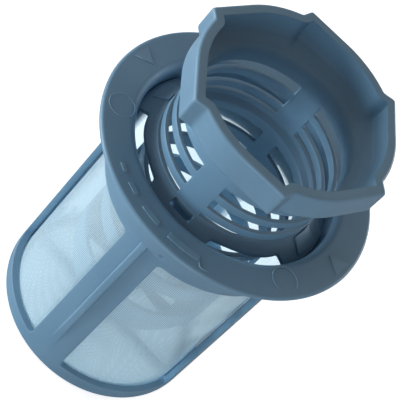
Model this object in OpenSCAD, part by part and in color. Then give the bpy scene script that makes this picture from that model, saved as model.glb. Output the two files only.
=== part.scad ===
// Dishwasher filter: a round cage with woven mesh, and the coarse basket that drops into it.
// The cage stands on its bottom ring at z = 0, its axis is Z, and the front rib faces -Y.

/* [Cage] */
// Height of the flange's top face above the foot
cage_h = 100.4; // [85:0.1:115]
// Thickness of the flange at its rim
flange_t = 2.1; // [1.6:0.1:2.6]
// Width of the flange, from the throat to its rim
flange_w = 12.7; // [11.5:0.1:17]
// Radius of the rolled edge between flange and throat
throat_roll = 3; // [1:0.1:3]
// Depth of the ledge that the deck sits on, below the flange's top face
ledge_depth = 8.8; // [8.4:0.1:9.6]
// Width of that ledge
ledge_w = 2.1; // [2:0.1:2.6]
// Distance of the collar's foot outside the ribs
collar_step = 2.9; // [2.6:0.1:3.6]
// Flare of the collar from its foot to the flange
collar_flare = 3.4; // [0.5:0.1:4]
// Depth of the collar below the flange's top face
collar_depth = 16.3; // [15:0.1:19]
// Outer radius of the ribs and of the bottom ring
cage_r = 37.1; // [32:0.1:46]
// Wall of the ribs and of the bottom ring
cage_wall = 2.4; // [2:0.1:2.6]
// Number of ribs
rib_count = 4; // [3:1:6]
// Width of a rib
rib_w = 14.6; // [9:0.1:18]
// Height of the plain hoop between the collar's foot and the windows
hoop_h = 5.4; // [3:0.1:7]
// Height of the ridge on the front and the back rib at its upper end
ridge_h = 1.1; // [0.5:0.1:1.6]
// Width of that ridge
ridge_w = 2.8; // [1.5:0.1:4]
// Height of the bottom ring
ring_h = 7; // [6:0.1:10]
// Radius of the bottom ring's rounded lower edge
ring_round = 2.8; // [0.6:0.1:4]
// Width of the bottom ring, from its outside to its inside
ring_w = 5.4; // [4.5:0.1:7]
// Width of the spokes in the cage's floor
spoke_w = 4; // [3:0.1:7]
// Thickness of the cage's floor
floor_t = 2; // [1.5:0.1:2.6]

/* [Mesh] */
// Thickness of the woven mesh
mesh_t = 0.4; // [0.3:0.05:0.6]
// Height of a thread's ridge on the mesh
thread_h = 0.1; // [0.05:0.05:0.1]
// Rows of open gaps between the threads in each window of the cage
gap_rows = 6; // [4:1:6]
// Columns of open gaps in each window
gap_columns = 4; // [3:1:4]
// Side of an open gap
gap_w = 1.2; // [0.8:0.1:1.6]

/* [Basket] */
// Width of the deck, from the neck to the throat
deck_w = 7; // [5.5:0.1:8]
// Distance of the cup's wall inside the neck's
cup_step = 2.3; // [1:0.1:3]
// Wall of the neck and the cup
basket_wall = 1.5; // [1.2:0.1:1.8]
// Depth of the cup's foot below the flange's top face
cup_depth = 76.5; // [74:0.1:80]
// Narrowing of the cup's foot
foot_narrow = 3.5; // [2.5:0.1:6]
// Height over which the cup narrows to its foot
foot_taper = 12; // [8:0.1:13]
// Fall of the deck from the neck to the throat
deck_fall = 5.2; // [3.6:0.1:5.6]
// Thickness of the deck
deck_t = 1.7; // [1.4:0.1:2.2]
// Clearance between the basket and the cage
seat_clear = 0.3; // [0.2:0.05:0.5]
// Half the width of the solid bands at front and back of the neck, in degrees
band_half = 9.5; // [6:0.5:14]
// Height of a slot in the neck
slot_h = 4.3; // [3.2:0.1:5]
// Pitch of the slots in the neck
slot_pitch = 7.3; // [6.6:0.1:7.6]
// Height of the short windows right under the deck
rim_window_h = 6.1; // [4:0.1:7]
// Height of a window in the cup
window_h = 7; // [5:0.1:9]
// Pitch of the windows in the cup
window_pitch = 13.3; // [12.5:0.1:14]
// Half the width of the bars between the cup's windows, in degrees
bar_half = 7; // [5:0.5:12]
// Number of spokes in the cup's floor
cup_spokes = 8; // [5:1:10]

/* [Crown] */
// Height of the crown's rim above the flange
crown_top = 35; // [32:0.1:40]
// Height of the crown's wall
crown_wall_h = 10; // [8:0.1:12]
// Flare of the crown outside the neck
crown_flare = 6.2; // [4.5:0.1:8]
// Reach of the ears outside the crown
ear_reach = 3.2; // [2:0.1:4.5]
// Number of ears
ear_count = 6; // [5:1:8]
// Steep side of an ear, in degrees
ear_step = 4.7; // [3:0.1:8]
// Thickness of the crown's wall
crown_wall = 2.7; // [2:0.1:3.2]

/* [Marks] */
// Height of the raised marks on the flange
mark_h = 0.3; // [0.15:0.05:0.6]
// Width of the line of a raised ring
mark_line = 0.45; // [0.3:0.05:0.8]

/* [Hidden] */
$fn = 180;
eps = 0.01;
cut = 1;

// Radii, each from the one that it fits
throat_step = 0.8;
cage_in = cage_r - cage_wall;
ring_in = cage_r - ring_w;
throat_r = cage_r - throat_step;
ledge_r = throat_r - ledge_w;
collar_r = cage_r + collar_step;
collar_top_r = collar_r + collar_flare;
flange_r = throat_r + flange_w;
deck_r = throat_r - seat_clear;
neck_r = deck_r - deck_w;
cup_r = neck_r - cup_step;
foot_r = cup_r - foot_narrow;
crown_r = neck_r + crown_flare;
ear_r = crown_r + ear_reach;

// Cage levels, measured up from the foot
throat_foot = cage_h - ledge_depth;
collar_foot = cage_h - collar_depth;
collar_wall = 1.8;
ledge_t = 1.7;
hoop_foot = collar_foot - hoop_h;
rib_top = throat_foot - ledge_t;
rib_pitch = 360 / rib_count;
ridge_every = 2;
ridge_gap = 7;
ridge_foot = ring_h + ridge_gap;
ridge_end = 0.4;
window_round = 1.6;
hub_r = 7;
gate_r = 0.8;
gate_depth = 0.5;
gate_rise = 2.6;
gate_turn = 9;
root = 1;
ridge_root = 0.3;

// Mesh
mesh_clear = 0.1;
mesh_out = cage_in - mesh_clear - thread_h;
mesh_in = mesh_out - mesh_t;
mesh_foot = floor_t + 2 * mesh_clear + mesh_t + thread_h;
mesh_top = throat_foot - ledge_t - mesh_clear;
thread_pitch = 1.6;
thread_rows = floor((mesh_top - mesh_foot) / thread_pitch) - 1;
window_foot = ring_h;
window_top = hoop_foot;
base_r = cage_in - mesh_clear;
base_lane = 4.8;
base_lane_count = 3;
base_lane_first = 1.2;

// Basket levels, measured up from the foot of the cage
neck_in = neck_r - basket_wall;
cup_in = cup_r - basket_wall;
cup_step_h = 1;
deck_foot = throat_foot + seat_clear;
deck_rim = deck_foot + deck_t;
deck_root = deck_rim + deck_fall;
cup_head = deck_root - deck_t - cup_step_h;
cup_foot = cage_h - cup_depth;
cup_floor_t = 1.8;
crown_z = cage_h + crown_top;
crown_foot = crown_z - crown_wall_h;
cone_fall = 4.6;
neck_top = crown_foot - cone_fall;
funnel_in = 1.4;
funnel_rise = 2.6;
funnel_foot = 0.8;
funnel_edge = 0.6;
crown_lap = 0.5;
ear_floor_t = 1.6;
ear_floor_lap = 0.3;
slot_rows = 3;
first_slot_h = 2.1;
slot_first = deck_root + first_slot_h;
slot_lip = 0.3;
window_rows = 3;
rim_window_drop = 6.7;
rim_window_top = deck_root - rim_window_drop;
window_gap = 4.3;
window_first = rim_window_top - rim_window_h - window_gap;
last_window_more = 5;
last_window_h = window_h + last_window_more;
bay_lip = 2.8;
bay_r = neck_r + bay_lip;
bay_from = 19.5;
bay_to = 72.5;
bay_round = 1.9;
bay_round_out = 2.5;
tab_half = 8;
tab_h = 0.8;
tab_root = 0.5;
tab_inset = 1.4;
tab_slope = 0.7;
notch_half = 8.5;
notch_w = 2.9;
notch_lip = 0.2;
notch_in_r = neck_r + notch_lip;
notch_r = neck_r + notch_w;
foot_round = 1.2;
cup_hub_r = 6;
cup_spoke_w = 2.6;
cup_floor_rim = 2.6;
ear_ramp = acos(crown_r / ear_r);
ear_in_r = ear_r - crown_wall;
crown_in_r = crown_r - crown_wall;

// Marks on the flange
bar_inset = 4.8;
bar_mid_r = flange_r - bar_inset;
bar_starts = [-119.8, -111, -100, -85.4];
bar_sweeps = [4.1, 5.6, 9.1, 15];
bar_widths = [1.4, 1.7, 2, 2.3];
ring_mark_r = 4;
ring_mark_inset = 5.5;
ring_mark_place = flange_r - ring_mark_inset;
pointer_inset = 2.2;
pointer_l = 6;
pointer_base_r = flange_r - pointer_inset;
pointer_tip_r = pointer_base_r - pointer_l;
pointer_half = 4.2;

blue = "#6a93b3";
pale = "#c3dae8";

// Points of an arc about a centre, between two angles
function arc(x, y, r, from, to, steps) = [
    for (i = [0 : steps])
        let (a = from + (to - from) * i / steps)
            [x + r * cos(a), y + r * sin(a)]
];

// A rectangle with round corners, about the origin
module rounded_rect(w, h, r) {
    x = w / 2 - r;
    y = h / 2 - r;
    polygon(concat(
        arc(x, y, r, 0, 90, 6),
        arc(-x, y, r, 90, 180, 6),
        arc(-x, -y, r, 180, 270, 6),
        arc(x, -y, r, 270, 360, 6)
    ));
}

// A ring between two radii and two levels
module tube(r_out, r_in, z_low, z_high) {
    translate([0, 0, z_low])
        difference() {
            cylinder(r = r_out, h = z_high - z_low);
            translate([0, 0, -cut])
                cylinder(r = r_in, h = z_high - z_low + 2 * cut);
        }
}

// A wedge of the plane from the axis, between two angles less than 180 degrees apart
module wedge(from, to, reach) {
    middle = (from + to) / 2;
    far = reach / cos((to - from) / 4);
    polygon([
        [0, 0],
        far * [cos(from), sin(from)],
        far * [cos(middle), sin(middle)],
        far * [cos(to), sin(to)]
    ]);
}

// Half section of the cage: rolled throat, ledge, wall, foot, collar and the rim of the flange
module cage_section() {
    polygon(concat(
        arc(throat_r + throat_roll, cage_h - throat_roll, throat_roll, 90, 180, 8),
        [
            [throat_r, throat_foot],
            [ledge_r, throat_foot],
            [ledge_r, rib_top],
            [cage_in, rib_top],
            [cage_in, floor_t],
            [ring_in, floor_t],
            [ring_in, 0]
        ],
        arc(cage_r - ring_round, ring_round, ring_round, -90, 0, 6),
        [
            [cage_r, rib_top],
            [collar_r - collar_wall, rib_top],
            [collar_r - collar_wall, collar_foot],
            [collar_r, collar_foot],
            [collar_top_r, cage_h - flange_t]
        ],
        arc(flange_r - flange_t / 2, cage_h - flange_t / 2, flange_t / 2, -90, 90, 8)
    ));
}

// Body of the cage with one rounded window between each two ribs
module cage_body() {
    window_w = 2 * cage_r * sin(rib_pitch / 2 - asin(rib_w / 2 / cage_r));
    difference() {
        rotate_extrude()
            cage_section();
        for (i = [0 : rib_count - 1])
            rotate([0, 0, -90 + (i + 0.5) * rib_pitch])
                translate([cage_in / 2, 0, (window_foot + window_top) / 2])
                    rotate([90, 0, 90])
                        linear_extrude(cage_r)
                            rounded_rect(window_w, window_top - window_foot, window_round);
    }
}

// Ridge down the middle of a rib, from just under the collar to nothing near the ring
module rib_ridge() {
    translate([0, ridge_w / 2, 0])
        rotate([90, 0, 0])
            linear_extrude(ridge_w)
                polygon([
                    [cage_in + root, ridge_foot],
                    [cage_r - ridge_root, ridge_foot],
                    [cage_r + ridge_h, collar_foot - ridge_end],
                    [cage_in + root, collar_foot - ridge_end]
                ]);
}

// Hub and spokes of the floor
module cage_floor() {
    cylinder(r = hub_r, h = floor_t);
    for (i = [0 : rib_count - 1])
        rotate([0, 0, -90 + i * rib_pitch])
            translate([0, -spoke_w / 2, 0])
                cube([ring_in + root, spoke_w, floor_t]);
}

// Generic raised marks: growing bars, two rings and two pointers
module flange_marks() {
    translate([0, 0, cage_h - flange_t / 2])
        linear_extrude(mark_h + flange_t / 2) {
            for (i = [0 : len(bar_starts) - 1])
                intersection() {
                    difference() {
                        circle(bar_mid_r + bar_widths[i] / 2);
                        circle(bar_mid_r - bar_widths[i] / 2);
                    }
                    wedge(bar_starts[i], bar_starts[i] + bar_sweeps[i], flange_r);
                }
            for (a = [-150, -30])
                translate(ring_mark_place * [cos(a), sin(a)])
                    difference() {
                        circle(ring_mark_r, $fn = 48);
                        circle(ring_mark_r - mark_line, $fn = 48);
                    }
            for (a = [0, 180])
                polygon([
                    pointer_tip_r * [cos(a), sin(a)],
                    pointer_base_r * [cos(a - pointer_half), sin(a - pointer_half)],
                    pointer_base_r * [cos(a + pointer_half), sin(a + pointer_half)]
                ]);
        }
}

// The cage: one moulding
module cage() {
    color(blue) {
        difference() {
            union() {
                cage_body();
                for (i = [0 : ridge_every : rib_count - 1])
                    rotate([0, 0, -90 + i * rib_pitch])
                        rib_ridge();
                cage_floor();
            }
            rotate([0, 0, gate_turn - 90])
                translate([collar_r - gate_depth, 0, collar_foot + gate_rise])
                    rotate([0, 90, 0])
                        cylinder(r = gate_r, h = 2 * gate_depth, $fn = 32);
        }
        flange_marks();
    }
}

// Sleeve of woven mesh: a thin wall with a ridge for each thread and open gaps in the windows
module side_mesh() {
    gap_sweep = (rib_pitch - 2 * asin(rib_w / 2 / cage_r)) / (gap_columns + 1);
    gap_rise = (window_top - window_foot) / (gap_rows + 1);
    color(pale)
        difference() {
            rotate_extrude()
                union() {
                    translate([mesh_in, mesh_foot])
                        square([mesh_t, mesh_top - mesh_foot]);
                    for (i = [1 : thread_rows])
                        translate([mesh_out - eps, mesh_foot + i * thread_pitch])
                            polygon([
                                [0, -2 * thread_h],
                                [thread_h + eps, 0],
                                [0, 2 * thread_h]
                            ]);
                }
            for (i = [0 : rib_count - 1], column = [1 : gap_columns], row = [1 : gap_rows])
                rotate([0, 0, -90 + (i + 0.5) * rib_pitch])
                    rotate([0, 0, (column - (gap_columns + 1) / 2) * gap_sweep])
                        translate([mesh_in - cut, -gap_w / 2, window_foot + row * gap_rise - gap_w / 2])
                            cube([mesh_t + 2 * cut, gap_w, gap_w]);
        }
}

// Disc of woven mesh on the spokes of the floor
module base_mesh() {
    translate([0, 0, floor_t + mesh_clear])
        color(pale)
            difference() {
                union() {
                    cylinder(r = base_r, h = mesh_t);
                    translate([0, 0, mesh_t - eps])
                        linear_extrude(thread_h + eps)
                            intersection() {
                                circle(base_r - mesh_t);
                                for (i = [-floor(base_r / base_lane) : floor(base_r / base_lane)])
                                    translate([(i + 0.5) * base_lane, 0])
                                        square([2 * thread_h, 2 * base_r], center = true);
                            }
                }
                for (i = [0 : rib_count - 1], x = [0 : 1], y = [0 : base_lane_count - 1])
                    rotate([0, 0, -90 + (i + 0.5) * rib_pitch])
                        translate([hub_r + (y + base_lane_first) * base_lane, (x - 0.5) * base_lane, -cut])
                            translate([-gap_w / 2, -gap_w / 2, 0])
                                cube([gap_w, gap_w, mesh_t + 2 * cut]);
            }
}

// Outline of the crown, of any reach
module crown_outline(tip_r, body_r) {
    circle(body_r);
    for (i = [0 : ear_count - 1])
        rotate(i * 360 / ear_count)
            polygon([
                [0, 0],
                (body_r - eps) * [cos(ear_step), sin(ear_step)],
                [tip_r, 0],
                body_r * [cos(ear_ramp), -sin(ear_ramp)]
            ]);
}

// Crown that the hand turns: a wall with ears, open inside
module crown() {
    difference() {
        translate([0, 0, crown_foot])
            linear_extrude(crown_wall_h)
                crown_outline(ear_r, crown_r);
        translate([0, 0, crown_foot - cut])
            linear_extrude(crown_wall_h + 2 * cut)
                crown_outline(ear_in_r, crown_in_r);
    }
}

// Funnel, neck, deck and cup as one turned wall
module basket_body() {
    rotate_extrude()
        polygon([
            [crown_in_r - crown_lap, crown_foot + crown_lap],
            [crown_r - funnel_edge, crown_foot + crown_lap],
            [crown_r - funnel_edge, crown_foot - eps],
            [neck_r, neck_top],
            [neck_r, deck_root],
            [deck_r, deck_rim],
            [deck_r, deck_foot],
            [neck_r, deck_root - deck_t],
            [cup_r, cup_head],
            [cup_r, cup_foot + foot_taper],
            [foot_r, cup_foot + foot_round],
            [foot_r - foot_round, cup_foot],
            [0, cup_foot],
            [0, cup_foot + cup_floor_t],
            [foot_r - foot_round, cup_foot + cup_floor_t],
            [cup_in, cup_foot + foot_taper],
            [cup_in, cup_head],
            [neck_in, deck_root - deck_t],
            [neck_in, neck_top + funnel_foot],
            [neck_in + funnel_in, neck_top + funnel_rise]
        ]);
}

// Floor of the hollow ears, which closes each of them below
module ear_floors() {
    translate([0, 0, crown_foot])
        linear_extrude(ear_floor_t)
            difference() {
                crown_outline(ear_r - eps, crown_r - ear_floor_lap);
                circle(crown_in_r - ear_floor_lap);
            }
}

// A long slot through the wall of the neck, on both sides between the solid bands
module neck_slot(z_low, z_high) {
    for (side = [0, 180])
        rotate([0, 0, side - 90 + band_half])
            rotate_extrude(angle = 180 - 2 * band_half)
                translate([neck_in - cut, z_low])
                    square([basket_wall + 2 * cut, z_high - z_low]);
}

// One row of four windows round the cup
module cup_windows(z_low, z_high) {
    for (side = [0 : 90 : 270])
        rotate([0, 0, side + bar_half])
            rotate_extrude(angle = 90 - 2 * bar_half)
                translate([cup_in - cut, z_low])
                    square([basket_wall + 2 * cut, z_high - z_low]);
}

// Long bays in the deck's rim, and the notch at the foot of each band
module deck_cuts() {
    low = deck_foot - cut;
    high = deck_root - deck_foot + 2 * cut;
    translate([0, 0, low])
        linear_extrude(high)
            for (way = [-1, 1], side = [-90, 90]) {
                difference() {
                    intersection() {
                        circle(deck_r + cut);
                        wedge(side + way * bay_from, side + way * bay_to, deck_r + 2 * cut);
                    }
                    circle(bay_r);
                }
                rotate(side + way * bay_to)
                    translate([bay_r + bay_round_out, 0])
                        circle(bay_round, $fn = 32);
            }
    for (side = [-90, 90])
        rotate([0, 0, side - notch_half])
            rotate_extrude(angle = 2 * notch_half)
                translate([notch_in_r, deck_foot])
                    square([notch_r - notch_in_r, deck_root - deck_foot]);
}

// Raised tab on the deck at each side, which clicks under the thumb
module deck_tabs() {
    for (side = [0, 180])
        rotate([0, 0, side - tab_half])
            rotate_extrude(angle = 2 * tab_half)
                polygon([
                    [neck_r - tab_root, deck_root - tab_root],
                    [neck_r - tab_root, deck_root + tab_h],
                    [deck_r - tab_inset, deck_rim + tab_h + tab_slope],
                    [deck_r - tab_inset, deck_rim - eps]
                ]);
}

// Floor of the cup: open between the hub and the spokes
module cup_floor_openings() {
    for (i = [0 : cup_spokes - 1])
        rotate([0, 0, (i + 0.5) * 360 / cup_spokes])
            translate([0, 0, cup_foot - cut])
                linear_extrude(cup_floor_t + 2 * cut)
                    difference() {
                        intersection() {
                            circle(foot_r - foot_round - cup_floor_rim);
                            wedge(-180 / cup_spokes, 180 / cup_spokes, foot_r);
                        }
                        circle(cup_hub_r);
                        for (edge = [-1, 1])
                            rotate(edge * 180 / cup_spokes)
                                translate([0, -cup_spoke_w / 2])
                                    square([foot_r, cup_spoke_w]);
                    }
}

// The coarse basket: crown, slotted neck, deck and cup in one moulding
module coarse_basket() {
    color(blue)
        difference() {
            union() {
                crown();
                ear_floors();
                difference() {
                    basket_body();
                    deck_cuts();
                }
                deck_tabs();
            }
            neck_slot(deck_root + slot_lip, slot_first);
            for (row = [1 : slot_rows - 1])
                neck_slot(slot_first + row * slot_pitch - slot_h, slot_first + row * slot_pitch);
            cup_windows(rim_window_top - rim_window_h, rim_window_top);
            for (row = [0 : window_rows - 1])
                cup_windows(window_first - row * window_pitch
                    - (row == window_rows - 1 ? last_window_h : window_h),
                    window_first - row * window_pitch);
            cup_floor_openings();
        }
}

cage();
side_mesh();
base_mesh();
coarse_basket();
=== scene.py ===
import math

import bmesh
import bpy
from mathutils import Matrix, Vector


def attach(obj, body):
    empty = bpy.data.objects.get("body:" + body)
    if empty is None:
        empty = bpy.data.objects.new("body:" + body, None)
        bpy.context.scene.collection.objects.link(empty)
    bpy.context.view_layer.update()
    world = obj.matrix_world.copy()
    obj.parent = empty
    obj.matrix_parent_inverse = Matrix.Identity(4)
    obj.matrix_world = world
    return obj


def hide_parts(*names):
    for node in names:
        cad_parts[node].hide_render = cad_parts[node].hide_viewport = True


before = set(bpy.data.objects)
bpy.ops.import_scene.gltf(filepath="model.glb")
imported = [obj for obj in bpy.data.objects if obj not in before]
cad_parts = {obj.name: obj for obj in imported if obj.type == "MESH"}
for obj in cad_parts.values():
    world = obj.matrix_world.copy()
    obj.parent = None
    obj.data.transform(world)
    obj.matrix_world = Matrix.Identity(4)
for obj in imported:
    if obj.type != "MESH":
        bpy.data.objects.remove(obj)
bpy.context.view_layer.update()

MM = 0.001
WELD = 2e-6  # vertices nearer than this, in metres, become one

# Sizes are in millimetres and angles in degrees. The foot stands at height 0; the front rib is at -90.

# Cage
CAGE_H = 100.4  # up to the flange's face
CAGE_R = 37.1
CAGE_IN = 34.7
THROAT_R = 36.3
THROAT_ROLL = 3.0  # radius of the roll from the flange into the throat
LEDGE_Z = CAGE_H - 8.8  # the basket's seat
LEDGE_R = 34.2
COLLAR_R = 40.0
COLLAR_TOP_R = 43.4
COLLAR_Z = CAGE_H - 16.3
FLANGE_R = 49.0
FLANGE_T = 2.1
RING_H = 7.0
RING_ROUND = 2.8
RING_IN = 31.7
FLOOR_T = 2.0
HUB_R = 7.0
SPOKE_W = 4.0
WINDOW_TOP = COLLAR_Z - 5.4
WINDOW_HALF = 33.65
CELL_HALF = 35.0  # each window is cut in a cell of the wall
RIBS = (-90.0, 0.0, 90.0, 180.0)
BETWEEN = (45.0, 135.0, 225.0, 315.0)
RIDGED = (-90.0, 90.0)
RIDGE_RISE = 1.3
GATE_TURN = -81.0
GATE_Z = COLLAR_Z + 2.6
GATE_DEPTH = 0.75

# Raised marks on the flange
MARK_SUNK = 0.4  # how deep a mark's foot lies in its surface
MARK_RISE = 0.28
BARS = ((-119.8, 4.1, 1.4), (-111.0, 5.6, 1.7), (-100.0, 9.1, 2.0), (-85.4, 15.0, 2.3))  # start, sweep, width
BARS_R = FLANGE_R - 4.8
HOOK = ((44.4, -70.6), (45.6, -69.8), (46.6, -69.2), (47.0, -68.4), (47.0, -67.0), (47.0, -65.4))
RING_MARKS = (-148.5, -30.0)
RING_MARKS_R = 42.4
POINTERS = (0.0, 180.0)
POINTER = ((40.8, 0.0), (46.8, -4.2), (46.8, 4.2))

# Woven mesh
MESH_R = 34.05
MESH_FOOT = 2.9
MESH_TOP = 88.2
DISC_Z = 2.35
THREAD_PITCH = 0.6
THREAD_COVER = 0.58  # share of the pitch that a thread takes

# Basket
CROWN_TOP = CAGE_H + 35.0
CROWN_FOOT = CROWN_TOP - 10.0
CROWN_R = 35.2
CROWN_WALL = 2.7
EAR_R = 38.4
EARS = (0.0, 60.0, 120.0, 180.0, 240.0, 300.0)
EAR_STEP = 4.7
EAR_RAMP = math.degrees(math.acos(CROWN_R / EAR_R))
OUTLINE_STEPS = 7200
NECK_R = 29.0
NECK_IN = 27.5
NECK_TOP = CROWN_FOOT - 4.6
NECK_HEAD = NECK_TOP - 0.6  # where the slotted part ends
SLOTS = ((0.35, 2.1, 0.02, 3.1), (5.1, 9.4, 4.1, 10.4), (12.4, 16.7, 11.4, 17.7))  # slot and cell, over the deck
SLOT_HALF = 80.5
DECK_RIM = LEDGE_Z + 2.0
DECK_ROOT = DECK_RIM + 5.2
NECK_FOOT = DECK_ROOT + 0.02
DECK_R = 36.0
DECK_T = 1.7
DECK_SPAN = 6.6  # length of the deck's slope between its rounded ends
BAY_DEPTH = 4.2
BANDS = (-90.0, 90.0)
CUP_R = 26.7
CUP_IN = 25.2
CUP_FOOT = CAGE_H - 76.5
CUP_HEAD = DECK_ROOT - 5.0
CUP_WINDOWS = ((6.7, 6.1), (17.1, 7.0), (30.4, 7.0), (43.7, 12.0))  # drop under the deck's root, height
CUP_CELL_HALF = 38.8
CUP_FLOOR_T = 1.8
FOOT_R = 23.2
FLOOR_R = FOOT_R - 3.6
CUP_HUB_R = 5.2

# The steps of a bevel: how far the edge is drawn in and how far it lies down, as shares of the bevel
BEVEL_STEPS = ((1.0, 0.0), (0.3, 0.3), (0.0, 1.0))
# The section of a raised line: across in widths, up in heights
LINE_SECTION = ((-0.5, -0.2), (-0.42, 0.75), (-0.2, 1.0), (0.2, 1.0), (0.42, 0.75), (0.5, -0.2))


def smooth(edge0, edge1, x):
    """0 up to the first edge and 1 from the second, with an even curve between."""
    t = min(1.0, max(0.0, (x - edge0) / (edge1 - edge0)))
    return t * t * (3 - 2 * t)


def turn(a):
    """An angle brought to -180..180."""
    return (a + 180.0) % 360.0 - 180.0


def polar(r, a):
    """The (x, y) of a radius and an angle."""
    return r * math.cos(math.radians(a)), r * math.sin(math.radians(a))


def both_sides(middles, offsets):
    """Angles at each offset to both sides of each middle."""
    return [middle + side * off for middle in middles for off in offsets for side in (1, -1)]


def divided(marks, step):
    """Rising marks, without the last, and more between them so that no gap is over step."""
    out = []
    for a, b in zip(marks, marks[1:]):
        n = max(1, math.ceil((b - a) / step - 1e-6))
        out += [a + (b - a) * k / n for k in range(n)]
    return out


def columns(hard, step):
    """Angles round the full circle that hold every hard angle, with no gap over step."""
    marks = sorted({round(a % 360.0, 5) for a in hard})
    return divided(marks + [marks[0] + 360.0], step)


def levels(hard, step):
    """Heights that hold every hard height, with no gap over step."""
    return divided(hard, step) + [hard[-1]]


def bevelled(foot, high, bevel):
    """Steps (drawn in, height) from a plate's foot to its bevelled upper edge."""
    return [(0.0, foot)] + [(off * bevel, high - depth * bevel) for off, depth in reversed(BEVEL_STEPS)]


def arc_rows(r, z, radius, start, end, steps):
    """Places (r, z) on an arc about a centre."""
    out = []
    for k in range(steps + 1):
        a = math.radians(start + (end - start) * k / steps)
        out.append((r + radius * math.cos(a), z + radius * math.sin(a)))
    return out


class Window:
    """A rounded opening in a wall.

    Its middle is at (theta, t); half is in degrees, which ref, a radius, turns into millimetres, and half_t,
    corner and bevel are in millimetres. The cell (from, to, low, high) is the patch of wall round it. On the
    far side the opening is wider by grow.
    """

    def __init__(self, theta, half, t, half_t, corner, bevel, ref, cell, grow=(0.0, 0.0)):
        self.theta, self.half, self.t, self.half_t = theta, math.radians(half) * ref, t, half_t
        self.corner, self.bevel, self.ref, self.cell, self.grow = corner, bevel, ref, cell, grow

    def loop(self, rim, deep):
        """For each point of the cell's rim, the nearest place on the opening's edge and the normal there."""
        a = self.half + (self.grow[0] if deep else 0.0)
        b = self.half_t + (self.grow[1] if deep else 0.0)
        c = self.corner
        q = c * (1 - math.sqrt(0.5))

        def rounded(straight, e):
            """How far out the edge lies where it is e from its end."""
            return straight - c + math.sqrt(max(0.0, c * c - (c - e) ** 2)) if e < c else straight

        out = []
        for theta, t, side in rim:
            s = math.radians(theta - self.theta) * self.ref
            u = t - self.t
            if side in ("low", "high"):
                s = min(a - q, max(-a + q, s))
                u = rounded(b, a - abs(s)) * (1 if side == "high" else -1)
            else:
                u = min(b - q, max(-b + q, u))
                s = rounded(a, b - abs(u)) * (1 if side == "right" else -1)
            nx = math.copysign(max(0.0, abs(s) - (a - c)), s)
            ny = math.copysign(max(0.0, abs(u) - (b - c)), u)
            n = math.hypot(nx, ny) or 1.0
            out.append((s, u, nx / n, ny / n))
        return out


def enter(name, mesh, material, body, node):
    """A mesh as an object that rides on its body in the place of its CAD node."""
    obj = bpy.data.objects.new(name, mesh)
    bpy.context.scene.collection.objects.link(obj)
    mesh.materials.append(material)
    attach(obj, body)
    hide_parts(node)
    return obj


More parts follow.
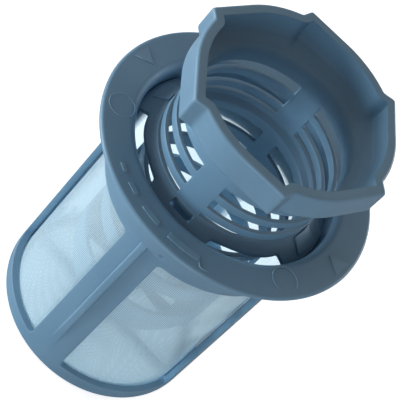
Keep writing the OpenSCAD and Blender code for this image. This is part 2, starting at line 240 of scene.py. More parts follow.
class Skin:
    """Vertices and faces of one moulding."""

    def __init__(self):
        self.points = []
        self.faces = []

    def add_xy(self, x, y, z):
        """Adds a vertex and gives its number."""
        self.points.append((x * MM, y * MM, z * MM))
        return len(self.points) - 1

    def add(self, theta, r, z):
        return self.add_xy(*polar(r, theta), z)

    def ring(self, thetas, row):
        """Vertices round the axis on a row: a place (r, z), or a function that gives it for an angle."""
        return [self.add(theta, *(row(theta) if callable(row) else row)) for theta in thetas]

    def chain(self, rings):
        """Faces from each closed ring to the next."""
        for a, b in zip(rings, rings[1:]):
            for i in range(len(a)):
                j = (i + 1) % len(a)
                self.faces.append((a[i], a[j], b[j], b[i]))

    def revolve(self, thetas, rows):
        """A surface round the axis through rows."""
        self.chain([self.ring(thetas, row) for row in rows])

    def disc(self, thetas, r, z):
        """A flat disc at a height."""
        ring = self.ring(thetas, (r, z))
        middle = self.add(0.0, 0.0, z)
        for i in range(len(ring)):
            self.faces.append((ring[i], ring[(i + 1) % len(ring)], middle))

    def zone(self, thetas, lines, top, bottom, windows):
        """A wall with openings between two surfaces, each given as a place (r, z) for (theta, t)."""
        count = len(thetas)

        def unwrapped(i):
            return thetas[i % count] + 360.0 * (i // count)

        def column(theta):
            i = min(range(count), key=lambda i: abs(turn(thetas[i] - theta)))
            assert abs(turn(thetas[i] - theta)) < 0.01, theta
            return i

        def line(t):
            j = min(range(len(lines)), key=lambda j: abs(lines[j] - t))
            assert abs(lines[j] - t) < 0.01, t
            return j

        def within(theta, t, depth, of_bottom):
            """A place in the wall's thickness, so deep from its top or its bottom."""
            r0, z0 = top(theta, t)
            r1, z1 = bottom(theta, t)
            full = math.hypot(r1 - r0, z1 - z0)
            k = 1 - depth / full if of_bottom else depth / full
            return r0 + (r1 - r0) * k, z0 + (z1 - z0) * k

        covered = set()
        for w in windows:
            i0, i1 = column(w.cell[0]), column(w.cell[1])
            if i1 <= i0:
                i1 += count
            j0, j1 = line(w.cell[2]), line(w.cell[3])
            covered |= {(i % count, j) for i in range(i0, i1) for j in range(j0, j1)}
            rim = [(unwrapped(i), lines[j0], "low") for i in range(i0, i1)]
            rim += [(unwrapped(i1), lines[j], "right") for j in range(j0, j1)]
            rim += [(unwrapped(i), lines[j1], "high") for i in range(i1, i0, -1)]
            rim += [(unwrapped(i0), lines[j], "left") for j in range(j1, j0, -1)]
            shift = 360.0 * round((0.5 * (unwrapped(i0) + unwrapped(i1)) - w.theta) / 360.0)
            rim = [(theta - shift, t, side) for theta, t, side in rim]
            near, far = w.loop(rim, False), w.loop(rim, True)
            steps = [(near, off * w.bevel, depth * w.bevel, False) for off, depth in BEVEL_STEPS]
            steps += [(far, off * w.bevel, depth * w.bevel, True) for off, depth in reversed(BEVEL_STEPS)]
            rings = [[self.add(theta, *top(theta, t)) for theta, t, _ in rim]]
            for edge, off, depth, of_bottom in steps:
                ring = []
                for s, u, nx, ny in edge:
                    theta = w.theta + math.degrees((s + off * nx) / w.ref)
                    ring.append(self.add(theta, *within(theta, w.t + u + off * ny, depth, of_bottom)))
                rings.append(ring)
            rings.append([self.add(theta, *bottom(theta, t)) for theta, t, _ in rim])
            self.chain(rings)
        for surface in (top, bottom):
            grid = {}
            for i in range(count):
                for j in range(len(lines) - 1):
                    if (i, j) in covered:
                        continue
                    face = []
                    for di, dj in ((0, 0), (1, 0), (1, 1), (0, 1)):
                        key = ((i + di) % count, j + dj)
                        if key not in grid:
                            theta = thetas[key[0]]
                            grid[key] = self.add(theta, *surface(theta, lines[key[1]]))
                        face.append(grid[key])
                    self.faces.append(tuple(face))

    def prism(self, outline, low, high, bevel):
        """A plate with a bevelled upper edge over an outline of (x, y)."""
        n = len(outline)
        if sum(p[0] * q[1] - q[0] * p[1] for p, q in zip(outline, outline[1:] + outline[:1])) < 0:
            outline = outline[::-1]

        def inset(d):
            out = []
            for i in range(n):
                p, c, q = Vector(outline[i - 1]), Vector(outline[i]), Vector(outline[(i + 1) % n])
                a, b = (c - p).normalized(), (q - c).normalized()
                na, nb = Vector((-a.y, a.x)), Vector((-b.y, b.x))
                m = na + nb
                out.append(c + m * (d / max(0.4, m.dot(na))))
            return out

        rings = [[self.add_xy(p.x, p.y, z) for p in inset(d)] for d, z in bevelled(low, high, bevel)]
        self.chain(rings)
        self.faces.append(tuple(rings[-1]))
        self.faces.append(tuple(reversed(rings[0])))

    def panel(self, theta, half, inner, outer, top, height, bevel):
        """A raised panel with round corners on a surface top(r), between two radii."""
        corner, step = 0.6, 1.2
        mid = 0.5 * (inner + outer)
        a, b = math.radians(half) * mid, 0.5 * (outer - inner)
        outline = []
        for sx, sy, start in ((1, 1, 0), (-1, 1, 90), (-1, -1, 180), (1, -1, 270)):
            for k in range(5):
                x, y = polar(corner, start + 22.5 * k)
                outline.append((sx * (a - corner) + x, sy * (b - corner) + y))
        dense = []
        for p, q in zip(outline, outline[1:] + outline[:1]):
            n = max(1, math.ceil(abs(q[0] - p[0]) / step))
            dense += [(p[0] + (q[0] - p[0]) * k / n, p[1] + (q[1] - p[1]) * k / n) for k in range(n)]

        def placed(places, rise):
            return [self.add(theta + math.degrees(s / mid), mid + t, top(mid + t) + rise) for s, t in places]

        rings = []
        for d, rise in bevelled(-MARK_SUNK, height, bevel):
            rings.append(placed([(s * (1 - d / a), t * (1 - d / b)) for s, t in dense], rise))
        rings.append(placed([(0.75 * s, 0.0) for s, t in dense], height))
        self.chain(rings)
        self.faces.append(tuple(reversed(rings[0])))

    def line_ring(self, centre, radius, width, z, height):
        """A raised line in a circle about a centre (x, y)."""
        steps = 64
        rings = []
        for k in range(steps):
            a = 2 * math.pi * k / steps
            ring = []
            for off, up in LINE_SECTION:
                r = radius + off * width
                ring.append(self.add_xy(centre[0] + r * math.cos(a), centre[1] + r * math.sin(a), z + up * height))
            rings.append(ring)
        self.chain(rings + rings[:1])

    def line_path(self, places, width, z, height):
        """A raised line through places (r, angle)."""
        points = [Vector(polar(r, a)) for r, a in places]
        rings = []
        for i, p in enumerate(points):
            along = (points[min(i + 1, len(points) - 1)] - points[max(i - 1, 0)]).normalized()
            side = Vector((-along.y, along.x))
            ring = []
            for off, up in LINE_SECTION:
                q = p + side * (off * width)
                ring.append(self.add_xy(q.x, q.y, z + up * height))
            rings.append(ring)
        self.chain(rings)
        self.faces.append(tuple(rings[0]))
        self.faces.append(tuple(reversed(rings[-1])))

    def build(self, name, material, body, node):
        """Welds the patches and enters the moulding, softly shaded."""
        mesh = bpy.data.meshes.new(name)
        mesh.from_pydata(self.points, [], self.faces)
        bm = bmesh.new()
        bm.from_mesh(mesh)
        bmesh.ops.remove_doubles(bm, verts=bm.verts, dist=WELD)
        bmesh.ops.dissolve_degenerate(bm, edges=bm.edges, dist=1e-7)
        bmesh.ops.recalc_face_normals(bm, faces=bm.faces)
        for face in bm.faces:
            face.smooth = True
        bm.to_mesh(mesh)
        bm.free()
        obj = enter(name, mesh, material, body, node)
        obj.modifiers.new("normals", "WEIGHTED_NORMAL").weight = 60


# ---- materials

def nodes_of(name):
    """A new material and its empty node tree."""
    material = bpy.data.materials.new(name)
    material.use_nodes = True
    material.node_tree.nodes.clear()
    return material, material.node_tree


def feed(tree, socket, value):
    """Gives a socket a plain value or another node's output."""
    if isinstance(value, bpy.types.NodeSocket):
        tree.links.new(value, socket)
    else:
        socket.default_value = value


def put(tree, kind, **values):
    """A new node with some of its settings and sockets given."""
    node = tree.nodes.new(kind)
    for key, value in values.items():
        if hasattr(node, key):
            setattr(node, key, value)
        else:
            feed(tree, node.inputs[key.replace("_", " ")], value)
    return node


def math_node(tree, operation, *values):
    node = put(tree, "ShaderNodeMath", operation=operation)
    for socket, value in zip(node.inputs, values):
        feed(tree, socket, value)
    return node.outputs[0]


def noise(tree, **values):
    return put(tree, "ShaderNodeTexNoise", **values).outputs["Fac"]


def spread(tree, value, from_low, from_high, to_low, to_high):
    """A value brought from one range to another and held at its ends."""
    return put(tree, "ShaderNodeMapRange", Value=value, From_Min=from_low, From_Max=from_high,
               To_Min=to_low, To_Max=to_high).outputs["Result"]


def mix_colour(tree, share, a, b):
    node = put(tree, "ShaderNodeMix", data_type="RGBA")
    for index, value in ((0, share), (6, a), (7, b)):
        feed(tree, node.inputs[index], value)
    return node.outputs[2]


def mix_shader(tree, share, a, b):
    node = put(tree, "ShaderNodeMixShader")
    for socket, value in zip(node.inputs, (share, a, b)):
        feed(tree, socket, value)
    return node.outputs[0]


def linear(r, g, b):
    """A colour of 0..255 as the eye reads it, as linear light."""
    return tuple(((v / 255.0 + 0.055) / 1.055) ** 2.4 for v in (r, g, b)) + (1.0,)


def plastic(name, colour, pale_tone_and_highlight):
    """Satin moulded plastic: cloudy tint, a painted highlight that turns sharp edges paler, fine pores and faint
    flow lines.
    """
    material, tree = nodes_of(name)
    place = put(tree, "ShaderNodeTexCoord").outputs["Object"]
    cloud = noise(tree, Vector=place, Scale=45.0, Detail=4.0, Roughness=0.55)
    pores = noise(tree, Vector=place, Scale=2600.0, Detail=2.0, Roughness=0.6)
    flow = noise(tree, Vector=place, Scale=160.0, Detail=3.0, Roughness=0.5, Distortion=0.8)
    edges = put(tree, "ShaderNodeNewGeometry").outputs["Pointiness"]
    tint = mix_colour(tree, spread(tree, cloud, 0.35, 0.75, 0.0, 0.35), colour, pale_tone_and_highlight)
    # painted highlight: sharp convex edges, found by pointiness, are mixed towards the pale colour
    tint = mix_colour(tree, spread(tree, edges, 0.515, 0.58, 0.0, 0.6), tint, pale_tone_and_highlight)
    relief = math_node(tree, "ADD", math_node(tree, "MULTIPLY", pores, 0.35), flow)
    bump = put(tree, "ShaderNodeBump", Strength=0.25, Distance=0.00012, Height=relief)
    rough = spread(tree, flow, 0.0, 1.0, 0.37, 0.51)
    shader = put(tree, "ShaderNodeBsdfPrincipled", Base_Color=tint, Roughness=rough, IOR=1.49,
                 Normal=bump.outputs["Normal"])
    put(tree, "ShaderNodeOutputMaterial", Surface=shader.outputs["BSDF"])
    return material


def woven(name, colour, shadow, pitch, cover):
    """Plain weave over its own (u, v) in millimetres: round clear threads, over and under, and open gaps."""
    material, tree = nodes_of(name)

    def calc(operation, *values):
        return math_node(tree, operation, *values)

    split = put(tree, "ShaderNodeSeparateXYZ", Vector=put(tree, "ShaderNodeUVMap", uv_map="weave").outputs["UV"])
    u = calc("DIVIDE", split.outputs["X"], pitch)
    v = calc("DIVIDE", split.outputs["Y"], pitch)

    def thread(x):
        """Whether a thread lies here, and how high its round back stands."""
        across = calc("DIVIDE", calc("ABSOLUTE", calc("SUBTRACT", calc("FRACT", x), 0.5)), 0.5 * cover)
        fall = calc("SUBTRACT", 1.0, calc("MULTIPLY", across, across))
        return calc("LESS_THAN", across, 1.0), calc("SQRT", calc("MAXIMUM", fall, 0.0))

    warp, warp_back = thread(u)
    weft, weft_back = thread(v)
    turns = calc("MULTIPLY", calc("ADD", calc("FLOOR", u), calc("FLOOR", v)), math.pi)
    lift = calc("MULTIPLY", calc("COSINE", turns), 0.25)
    height = calc("MAXIMUM", calc("MULTIPLY", warp_back, calc("ADD", 0.75, lift)),
                  calc("MULTIPLY", weft_back, calc("SUBTRACT", 0.75, lift)))
    tint = mix_colour(tree, height, shadow, colour)
    bump = put(tree, "ShaderNodeBump", Strength=0.6, Distance=0.0002, Height=height)
    shader = put(tree, "ShaderNodeBsdfPrincipled", Base_Color=tint, Roughness=0.45, IOR=1.5,
                 Normal=bump.outputs["Normal"])
    through = put(tree, "ShaderNodeBsdfTranslucent", Color=tint)

    # more light comes through where the eye looks at the mesh's inner side
    inner_side = put(tree, "ShaderNodeNewGeometry").outputs["Backfacing"]
    passed = calc("ADD", 0.3, calc("MULTIPLY", inner_side, 0.4))
    threads = mix_shader(tree, passed, shader.outputs[0], through.outputs[0])

    # the clear threads hold back only part of the light behind them
    shadow_ray = put(tree, "ShaderNodeLightPath").outputs["Is Shadow Ray"]
    held = calc("SUBTRACT", 1.0, calc("MULTIPLY", shadow_ray, 0.6))
    gap = put(tree, "ShaderNodeBsdfTransparent", Color=(0.86, 0.93, 0.96, 1.0))
    surface = mix_shader(tree, calc("MULTIPLY", calc("MAXIMUM", warp, weft), held), gap.outputs[0], threads)
    put(tree, "ShaderNodeOutputMaterial", Surface=surface)
    return material


# the second colour is both the paler cloudy tone and the painted highlight on sharp edges
blue = plastic("moulded_blue", linear(107, 145, 172), linear(132, 168, 192))
pale_mesh = woven("woven_mesh", linear(216, 239, 248), linear(203, 231, 243), THREAD_PITCH, THREAD_COVER)


# ---- cage: one moulding of flange, collar, ribs, ring and floor

def cage_columns():
    """Columns on the ridges' and windows' edges and through the gate mark."""
    ridge_edges = (0.0, 1.0, 1.85, 2.05, 2.25, 2.5, 3.2)
    window_edges = (5.0, 7.5, 10.0, 11.0, 12.0, 12.9, 13.8, 15.2, 17.0)
    hard = both_sides(RIBS, ridge_edges + window_edges) + both_sides((GATE_TURN,), (0.4, 0.75, 1.1, 1.4))
    return columns(hard, 2.0)


def ridge(theta, z):
    """Height of the ridge down the middle of the front and back ribs."""
    off = min(abs(turn(theta - rib)) for rib in RIDGED)
    rise = RIDGE_RISE * smooth(13.0, 40.0, z)
    return rise * (1 - smooth(1.85, 2.25, off))


def dimple(theta, z):
    """Depth of the round gate mark in the collar."""
    across = math.hypot(math.radians(turn(theta - GATE_TURN)) * COLLAR_R, z - GATE_Z)
    return GATE_DEPTH * (1 - smooth(0.45, 0.9, across))


def flange_marks(skin):
    """Bars that grow with a hook beside the last, two rings and two pointers."""
    high = CAGE_H + MARK_RISE
    for start, sweep, width in BARS:
        n = max(3, int(sweep))
        edge = [polar(BARS_R + width / 2, start + sweep * k / n) for k in range(n + 1)]
        edge += [polar(BARS_R - width / 2, start + sweep * k / n) for k in range(n, -1, -1)]
        skin.prism(edge, CAGE_H - MARK_SUNK, high, 0.12)
    skin.line_path(HOOK, 0.34, CAGE_H, 0.24)
    for a in RING_MARKS:
        skin.line_ring(polar(RING_MARKS_R, a), 4.4, 0.36, CAGE_H, 0.15)
    for a in POINTERS:
        skin.prism([polar(r, a + b) for r, b in POINTER], CAGE_H - MARK_SUNK, high, 0.12)


def build_cage():
    skin = Skin()
    thetas = cage_columns()

    # wall with a window between each two ribs
    low, high = RING_H - 0.9, WINDOW_TOP + 0.9
    hard = [low] + [RING_H + up for up in (0.55, 1.2, 2.2, 7.5)]
    hard += [WINDOW_TOP - down for down in (2.2, 1.2, 0.55)] + [high]
    mid_z, half_z = 0.5 * (RING_H + WINDOW_TOP), 0.5 * (WINDOW_TOP - RING_H)

    def outer(theta, z):
        return CAGE_R + ridge(theta, z), z

    windows = [Window(mid, WINDOW_HALF, mid_z, half_z, 1.6, 0.28, CAGE_R,
                      (mid - CELL_HALF, mid + CELL_HALF, low, high), (1.0, 0.0)) for mid in BETWEEN]
    skin.zone(thetas, levels(hard, 4.0), outer, lambda theta, z: (CAGE_IN, z), windows)

    # from the wall up the hoop and collar, round the flange, and down the throat to the ledge
    under = CAGE_H - FLANGE_T
    slope = (COLLAR_TOP_R - COLLAR_R) / (under - COLLAR_Z)

    def hoop(z):
        return lambda theta: outer(theta, z)

    def collar(z):
        return lambda theta: (COLLAR_R + slope * (z - COLLAR_Z) - dimple(theta, z), z)

    rows = [hoop(high), hoop(COLLAR_Z - 3.0), hoop(COLLAR_Z - 1.0), hoop(COLLAR_Z - 0.3)]
    rows += [(38.6, COLLAR_Z - 0.06), (39.2, COLLAR_Z)]
    rows += arc_rows(COLLAR_R - 0.7, COLLAR_Z + 0.7, 0.7, -80, 8, 4)
    rows += [collar(GATE_Z + up) for up in (-1.0, -0.75, -0.5, -0.2, 0.2, 0.5, 0.75, 1.0)]
    rows += [collar(COLLAR_Z + up) for up in (6.0, 9.0, 12.0)] + [collar(under - 1.2)]
    rows += [(COLLAR_TOP_R + 0.05, under - 0.6), (COLLAR_TOP_R + 0.45, under - 0.12), (COLLAR_TOP_R + 1.1, under)]
    rows += [(46.5, under)]
    rows += arc_rows(FLANGE_R - FLANGE_T / 2, CAGE_H - FLANGE_T / 2, FLANGE_T / 2, -90, 90, 8)
    rows += [(46.5, CAGE_H), (44.0, CAGE_H), (41.5, CAGE_H)]
    rows += arc_rows(THROAT_R + THROAT_ROLL, CAGE_H - THROAT_ROLL, THROAT_ROLL, 90, 180, 10)
    rows += [(THROAT_R, LEDGE_Z + 2.7), (THROAT_R, LEDGE_Z + 0.4)]
    rows += [(THROAT_R - 0.12, LEDGE_Z + 0.1), (THROAT_R - 0.4, LEDGE_Z)]
    rows += [(LEDGE_R + 0.3, LEDGE_Z), (LEDGE_R + 0.08, LEDGE_Z - 0.08), (LEDGE_R, LEDGE_Z - 0.3)]
    rows += [(LEDGE_R, LEDGE_Z - 1.5), (CAGE_IN, LEDGE_Z - 1.8), (CAGE_IN, LEDGE_Z - 4.8), (CAGE_IN, high)]
    skin.revolve(thetas, rows)

    # bottom ring, from the wall's outside round to its inside
    rows = [(CAGE_R, low), (CAGE_R, 4.5)]
    rows += arc_rows(CAGE_R - RING_ROUND, RING_ROUND, RING_ROUND, 0, -90, 8)
    rows += [(RING_IN + 0.3, 0.0), (RING_IN + 0.08, 0.08), (RING_IN, 0.3)]
    rows += [(RING_IN, FLOOR_T - 0.3), (RING_IN + 0.08, FLOOR_T - 0.08), (RING_IN + 0.3, FLOOR_T)]
    rows += [(34.4, FLOOR_T), (34.62, FLOOR_T + 0.08), (CAGE_IN, 2.3), (CAGE_IN, 4.5), (CAGE_IN, low)]
    skin.revolve(thetas, rows)

    # floor: hub and spokes under the mesh
    reach = 33.0
    outline = []
    for rib in RIBS:
        c, s = polar(1.0, rib)
        for y in (-SPOKE_W / 2, SPOKE_W / 2):
            outline.append((c * reach - s * y, s * reach + c * y))
        outline += [polar(HUB_R, rib + 17.5 + 55.0 * k / 8) for k in range(9)]
    skin.prism(outline, 0.05, FLOOR_T - 0.05, 0.25)

    flange_marks(skin)
    skin.build("cage_moulding", blue, "micro_filter", "cage")


# ---- woven mesh: sleeve and floor

def build_woven(name, node, rows, closed):
    """A piece of mesh through rows of (place, its place in the weave)."""
    mesh = bpy.data.meshes.new(name)
    bm = bmesh.new()
    layer = bm.loops.layers.uv.new("weave")
    weave = {}
    grid = []
    for row in rows:
        line = []
        for place, uv in row:
            vertex = bm.verts.new([c * MM for c in place])
            weave[vertex] = uv
            line.append(vertex)
        grid.append(line)
    for a, b in zip(grid, grid[1:]):
        for i in range(len(a) if closed else len(a) - 1):
            j = (i + 1) % len(a)
            bm.faces.new((a[i], a[j], b[j], b[i]))
    for face in bm.faces:
        face.smooth = True
        for loop in face.loops:
            loop[layer].uv = weave[loop.vert]
    bm.to_mesh(mesh)
    bm.free()
    enter(name, mesh, pale_mesh, "micro_filter", node)


def build_mesh():
    sleeve = []
    for z in levels([MESH_FOOT, MESH_TOP], 4.0):
        row = []
        for i in range(181):
            a = 2.0 * i
            row.append(((*polar(MESH_R, a), z), (math.radians(a) * MESH_R, z)))
        sleeve.append(row)
    build_woven("mesh_sleeve", "side_mesh", sleeve, False)
    disc = []
    for r in (0.01, 5.0, 10.0, 15.0, 20.0, 25.0, 30.0, 34.4):
        places = [polar(r, 3.75 * i) for i in range(96)]
        disc.append([((*place, DISC_Z), place) for place in places])
    build_woven("mesh_floor", "base_mesh", disc, True)


# ---- basket: crown, slotted neck, deck and cup in one moulding

def sharp_outline(theta):
    """Outer radius of the crown with sharp ears: a straight ramp up to the tip, then a steep step."""
    phi = (-theta) % 60.0
    if phi <= EAR_RAMP:
        return CROWN_R / math.cos(math.radians(EAR_RAMP - phi))
    if phi < 60.0 - EAR_STEP:
        return CROWN_R
    k = math.radians(60.0 - phi)
    x0, y0 = polar(CROWN_R, EAR_STEP)
    t = -EAR_R * math.sin(k) / ((x0 - EAR_R) * math.sin(k) - y0 * math.cos(k))
    return math.hypot(EAR_R + (x0 - EAR_R) * t, y0 * t)


def soften(values, reach):
    """A running mean round the circle, done twice."""
    n = len(values)
    for _ in range(2):
        total = sum(values[-reach:]) + sum(values[:reach + 1])
        out = []
        for i in range(n):
            out.append(total / (2 * reach + 1))
            total += values[(i + reach + 1) % n] - values[i - reach]
        values = out
    return values


def shrunk(values, depth):
    """The outline moved inwards by a wall's thickness; each ear is worked out once, in coarser steps."""
    reach, near_step, out_step = 130, 2, 4
    n = len(values)
    out = []
    for i in range(0, n // len(EARS), out_step):
        best = math.inf
        for k in range(-reach, reach + 1, near_step):
            q = values[(i + k) % n]
            d = math.radians(360.0 * k / n)
            across = q * math.sin(d)
            if abs(across) < depth:
                best = min(best, q * math.cos(d) - math.sqrt(depth * depth - across * across))
        out.append(best)
    return out * len(EARS)


def reader(values):
    """A function that reads values spaced evenly round the circle at any angle."""
    n = len(values)

    def read(theta):
        x = (theta % 360.0) / 360.0 * n
        i = int(x)
        return values[i % n] * (1 - x + i) + values[(i + 1) % n] * (x - i)

    return read


one_ear = [sharp_outline(360.0 * i / OUTLINE_STEPS) for i in range(OUTLINE_STEPS // len(EARS))]
crown_outline = soften(one_ear * len(EARS), 14)
crown_out = reader(crown_outline)
crown_in = reader(shrunk(crown_outline, CROWN_WALL))


def deck_edge(theta):
    """Radius of the deck's rim: full at the tongues, drawn in along the bays in a slight wave."""
    off = abs(abs(turn(theta)) - 90.0)
    bay = smooth(18.6, 24.2, off) * (1 - smooth(67.0, 73.0, off))
    wave = 0.35 * math.sin(math.radians((off - 19.5) * 6.8))
    return DECK_R - (BAY_DEPTH + wave) * bay


def deck_z(r):
    """Height of the deck's falling upper face."""
    return DECK_ROOT - (DECK_ROOT - DECK_RIM) * (r - NECK_R) / (DECK_R - NECK_R)


def basket_columns():
    """Columns at ears, bands, bays and bars; of two very close ones the one that a cell needs is kept."""
    ear = (-24, -22, -18, -12, -8, -5, -3, -2, -1.3, -0.6, 0, 0.6, 1.2, 1.9, 2.7, 3.5, 4.2, 4.8, 5.5, 6.6, 8.5)
    slot_ends = (0.0, 4.0, 7.3, 8.6, 9.9, 10.4, 11.2, 12.6)
    bay_ends = (18.6, 19.6, 20.6, 21.6, 22.6, 23.6, 24.6, 66.5, 67.5, 68.5, 69.5, 70.5, 71.5, 72.5)
    hard = [tip + a for tip in EARS for a in ear]
    hard += both_sides(BANDS, slot_ends + bay_ends) + both_sides(RIBS, (6.2, 7.4))
    marks = sorted({round(a % 360.0, 5) for a in hard})
    needed = {round(a % 360.0, 5) for a in both_sides(BANDS, (7.3, 8.6)) + both_sides(RIBS, (6.2,))}
    kept = []
    for a in marks:
        if not kept or a - kept[-1] >= 0.28:
            kept.append(a)
        elif a in needed and kept[-1] not in needed:
            kept[-1] = a
        elif a in needed:
            kept.append(a)
    return columns(kept, 2.2)


def build_crown(skin, thetas):
    """The crown, from the neck up the outside, over the rim and down the inside."""
    seat = 29.2  # radius at which the funnel's inside meets the neck

    def out(off, z, blend=1.0):
        return lambda theta: (NECK_R + (crown_out(theta) - off - NECK_R) * blend, z)

    def within(off, z, blend=1.0):
        return lambda theta: (seat + (crown_in(theta) + off - seat) * blend, z)

    rows = [(NECK_R, NECK_HEAD), (NECK_R, NECK_TOP - 0.2), (NECK_R + 0.15, NECK_TOP + 0.25)]
    for k in range(1, 9):
        t = k / 9.0
        rows.append(out(0.25, NECK_TOP + 0.3 + (CROWN_FOOT - NECK_TOP - 0.5) * t ** 1.15, 0.06 + 0.94 * t))
    rows += [out(o, CROWN_FOOT + up) for o, up in ((0.22, -0.1), (0.06, 0.2), (0.0, 0.7), (0.0, 2.9), (0.0, 5.9))]
    for o, down in ((0.0, 1.2), (0.1, 0.65), (0.35, 0.25), (0.75, 0.04), (1.1, 0.0)):
        rows.append(out(o, CROWN_TOP - down))
    for o, down in ((-0.8, 0.0), (-0.2, 0.14), (0.28, 0.5), (0.56, 1.0), (0.66, 1.7)):
        rows.append(within(o, CROWN_TOP - down))
    for o, up in ((0.45, 5.9), (0.2, 2.9), (0.05, 1.3), (-0.3, 0.6), (-0.8, 0.3)):
        rows.append(within(o, CROWN_FOOT + up))
    for o, down, blend in ((-0.8, 0.6, 0.6), (-0.8, 1.3, 0.3), (0.0, 1.85, 0.04)):
        rows.append(within(o, CROWN_FOOT - down, blend))
    rows += [(r, CROWN_FOOT - down) for r, down in ((29.0, 1.95), (28.7, 2.1), (28.0, 2.8))]
    rows += [(NECK_IN + 0.1, CROWN_FOOT - 3.7), (NECK_IN, CROWN_FOOT - 4.3), (NECK_IN, NECK_HEAD)]
    skin.revolve(thetas, rows)


def build_neck(skin, thetas):
    """The neck with three rows of long slots, open to both sides between the two bands."""
    rises = (0.8, 1.6, 3.1, 4.1, 5.5, 6.0, 7.2, 8.5, 9.0, 10.4, 11.4, 12.8, 13.3, 14.5, 15.8, 16.3, 17.7)
    windows = []
    for slot in SLOTS:
        z0, z1, cell_low, cell_high = (DECK_ROOT + rise for rise in slot)
        corner = 0.45 if z1 - z0 > 3 else 0.3
        for mid in (0.0, 180.0):
            windows.append(Window(mid, SLOT_HALF, 0.5 * (z0 + z1), 0.5 * (z1 - z0), corner, 0.22, NECK_R,
                                  (mid - SLOT_HALF - 0.9, mid + SLOT_HALF + 0.9, cell_low, cell_high)))
    hard = [NECK_FOOT] + [DECK_ROOT + rise for rise in rises] + [NECK_HEAD]
    skin.zone(thetas, levels(hard, 2.5), lambda a, z: (NECK_R, z), lambda a, z: (NECK_IN, z), windows)


def build_deck(skin, thetas):
    """The deck: a falling ring with bays, a notch at the foot of each band and two tabs."""
    root = NECK_R + 0.25

    def deck_top(theta, t):
        r = root + t / DECK_SPAN * (deck_edge(theta) - 0.4 - NECK_R - 0.25)
        return r, deck_z(r)

    def deck_low(theta, t):
        r, z = deck_top(theta, t)
        return r, z - DECK_T + 0.2 * t / DECK_SPAN

    def rim(off, drop, of_low):
        def place(theta):
            r = deck_edge(theta) - off
            return r, deck_z(r) - drop - (DECK_T - 0.2 if of_low else 0.0)
        return place

    skin.revolve(thetas, [(NECK_R, NECK_FOOT), (NECK_R + 0.06, DECK_ROOT - 0.08), lambda a: deck_top(a, 0.0)])
    notches = [Window(band, 7.8, 1.55, 1.15, 0.35, 0.2, 30.8, (band - 8.6, band + 8.6, 0.1, 3.0)) for band in BANDS]
    hard = [0.0, 0.1, 0.65, 1.0, 2.1, 2.5, 3.0, DECK_SPAN]
    skin.zone(thetas, levels(hard, 1.2), deck_top, deck_low, notches)
    rows = [lambda a: deck_top(a, DECK_SPAN), rim(0.12, 0.1, False), rim(0.0, 0.42, False)]
    rows += [rim(0.0, -0.42, True), rim(0.12, -0.1, True), lambda a: deck_low(a, DECK_SPAN)]
    skin.revolve(thetas, rows)
    rows = [lambda a: deck_low(a, 0.0), (NECK_R - 0.3, DECK_ROOT - 2.2)]
    skin.revolve(thetas, rows + [(CUP_R + 0.3, DECK_ROOT - 3.0), (CUP_R, DECK_ROOT - 3.6), (CUP_R, CUP_HEAD)])
    for side in (0.0, 180.0):
        skin.panel(side, 8.0, NECK_R + 0.5, DECK_R - 1.4, deck_z, 0.8, 0.2)


def build_cup(skin, thetas):
    """The cup with four rows of windows between its bars, its tapering foot and its open floor."""
    rows = [(DECK_ROOT - drop - tall, DECK_ROOT - drop) for drop, tall in CUP_WINDOWS]
    bottom = rows[-1][0] - 1.1
    hard = [bottom]
    for z0, z1 in reversed(rows):
        hard += ([] if z0 < bottom + 2 else [z0 - 1.1]) + [z0 + 0.35, z0 + 0.9, z1 - 0.9, z1 - 0.35, z1 + 1.1]
    windows = []
    for z0, z1 in rows:
        for mid in BETWEEN:
            windows.append(Window(mid, 38.0, 0.5 * (z0 + z1), 0.5 * (z1 - z0), 0.8, 0.25, CUP_R,
                                  (mid - CUP_CELL_HALF, mid + CUP_CELL_HALF, z0 - 1.1, z1 + 1.1)))
    skin.zone(thetas, levels(hard + [CUP_HEAD], 3.5), lambda a, z: (CUP_R, z), lambda a, z: (CUP_IN, z), windows)
    rows = [(CUP_IN, CUP_HEAD), (CUP_IN, DECK_ROOT - 3.3), (CUP_IN + 0.3, DECK_ROOT - 2.7)]
    rows += [(NECK_IN - 0.4, DECK_ROOT - 1.8), (NECK_IN, DECK_ROOT - 1.0), (NECK_IN, NECK_FOOT)]
    skin.revolve(thetas, rows)

    # outside of the foot, down to the floor
    taper = CUP_FOOT + 12.0
    rows = [(CUP_R, bottom), (CUP_R, taper + 1.0), (CUP_R - 0.15, taper)]
    rows += [(CUP_R - 0.75, taper - 2.5), (CUP_R - 1.6, taper - 5.0)]
    for off, up in ((0.9, 4.8), (0.1, 3.0), (-0.8, 1.5), (-1.9, 0.5), (-2.8, 0.1)):
        rows.append((FOOT_R + off, CUP_FOOT + up))
    skin.revolve(thetas, rows + [(FLOOR_R, CUP_FOOT)])

    # floor, open between hub and spokes
    inside = CUP_FOOT + CUP_FLOOR_T
    openings = [Window(mid, 36.5, 12.4, 6.1, 0.9, 0.2, 12.4,
                       (mid - CUP_CELL_HALF, mid + CUP_CELL_HALF, CUP_HUB_R, 19.2)) for mid in BETWEEN]
    skin.zone(thetas, levels([CUP_HUB_R, 6.2, 6.9, 17.9, 18.5, 19.2, FLOOR_R], 3.0),
              lambda a, r: (r, CUP_FOOT), lambda a, r: (r, inside), openings)
    skin.disc(thetas, CUP_HUB_R, CUP_FOOT)
    skin.disc(thetas, CUP_HUB_R, inside)

    # inside of the foot, back up to the wall
    rows = [(FLOOR_R, inside)]
    rows += [(FOOT_R - off, CUP_FOOT + up) for off, up in ((2.3, 2.3), (1.4, 3.6), (0.6, 5.4))]
    rows += [(CUP_IN - 1.5, taper - 5.0), (CUP_IN - 0.7, taper - 2.5), (CUP_IN, taper + 0.5), (CUP_IN, bottom)]
    skin.revolve(thetas, rows)


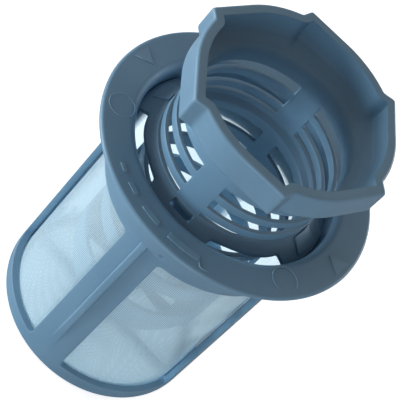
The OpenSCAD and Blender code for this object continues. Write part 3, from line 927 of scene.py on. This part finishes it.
def build_basket():
    skin = Skin()
    thetas = basket_columns()
    build_crown(skin, thetas)
    build_neck(skin, thetas)
    build_deck(skin, thetas)
    build_cup(skin, thetas)
    skin.build("coarse_moulding", blue, "basket", "coarse_basket")


build_cage()
build_mesh()
build_basket()

# ---- camera: the photograph's view, fitted to the object's outlines

CAMERA_LENS = 153.1
CAMERA_TURN = 4.5  # from the fitted view's own angle to that of the frame
CAMERA_PLACE = (-0.4, -384.3, 371.8)  # from the middle of the flange's face
CAMERA_RIGHT = (0.7156, 0.502, 0.485)
CAMERA_UP = (-0.6985, 0.5146, 0.4973)

camera_data = bpy.data.cameras.new("camera")
camera_data.lens = CAMERA_LENS
camera_data.sensor_width = 36.0
camera_data.clip_start = 0.01
camera_data.clip_end = 20.0
camera = bpy.data.objects.new("camera", camera_data)
bpy.context.scene.collection.objects.link(camera)
spin = Matrix.Rotation(math.radians(CAMERA_TURN), 3, "Z")
right = (spin @ Vector(CAMERA_RIGHT)).normalized()
up = (spin @ Vector(CAMERA_UP)).normalized()
place = spin @ Vector([c * MM for c in CAMERA_PLACE]) + Vector((0.0, 0.0, CAGE_H * MM))
camera.matrix_world = Matrix.Translation(place) @ Matrix((right, up, right.cross(up))).transposed().to_4x4()
bpy.context.scene.camera = camera


# ---- floor, world and lamps

def seen(tree):
    """1 for rays from the camera, also through clear places, else 0."""
    sight = put(tree, "ShaderNodeLightPath")
    return math_node(tree, "MAXIMUM", sight.outputs["Is Camera Ray"], sight.outputs["Is Transmission Ray"])


FLOOR_HALF = 3.0
FLOOR_DROP = 0.0002

corners = [(x * FLOOR_HALF, y * FLOOR_HALF, 0.0) for x, y in ((-1, -1), (1, -1), (1, 1), (-1, 1))]
floor_mesh = bpy.data.meshes.new("floor")
floor_mesh.from_pydata(corners, [], [(0, 1, 2, 3)])
floor = bpy.data.objects.new("floor", floor_mesh)
floor.location.z = -FLOOR_DROP
bpy.context.scene.collection.objects.link(floor)

# the floor keeps the object's shadow; its own glow, which only the camera sees, makes it white
ground, tree = nodes_of("floor")
shade = spread(tree, noise(tree, Scale=30.0), 0.0, 1.0, 0.78, 0.8)
grey = put(tree, "ShaderNodeCombineColor", Red=shade, Green=shade, Blue=shade)
matt = put(tree, "ShaderNodeBsdfDiffuse", Color=grey.outputs["Color"])
glow = put(tree, "ShaderNodeEmission", Strength=0.8)
both = put(tree, "ShaderNodeAddShader")
tree.links.new(matt.outputs[0], both.inputs[0])
tree.links.new(glow.outputs[0], both.inputs[1])
put(tree, "ShaderNodeOutputMaterial", Surface=mix_shader(tree, seen(tree), matt.outputs[0], both.outputs[0]))
floor_mesh.materials.append(ground)

world = bpy.data.worlds.new("world")
bpy.context.scene.world = world
world.use_nodes = True
tree = world.node_tree
tree.nodes.clear()
dim = put(tree, "ShaderNodeBackground", Color=(1.1, 0.95, 0.87, 1.0), Strength=0.16)
bright = put(tree, "ShaderNodeBackground", Strength=1.0)
put(tree, "ShaderNodeOutputWorld", Surface=mix_shader(tree, seen(tree), dim.outputs[0], bright.outputs[0]))

LAMPS = (  # name, place, size, power, colour
    ("key", (-1.2, -0.35, 0.11), 0.7, 21.0, (0.92, 0.98, 1.02)),
    ("fill", (0.45, -1.2, 0.1), 0.8, 9.0, (0.87, 0.97, 1.05)),
    ("top", (-0.2, 0.4, 1.3), 1.2, 1.9, (1.0, 0.89, 0.8)),
    ("back", (0.5, 1.1, 0.1), 0.9, 10.0, (0.93, 0.98, 1.0)),
)
LAMP_AIM = Vector((0.0, 0.0, 0.07))

for name, place, size, power, colour in LAMPS:
    data = bpy.data.lights.new(name, "AREA")
    data.shape = "DISK"
    data.size = size
    data.energy = power
    data.color = colour
    lamp = bpy.data.objects.new(name, data)
    lamp.location = place
    lamp.rotation_euler = (LAMP_AIM - Vector(place)).to_track_quat("-Z", "Y").to_euler()
    bpy.context.scene.collection.objects.link(lamp)

bpy.context.scene.view_settings.view_transform = "Standard"
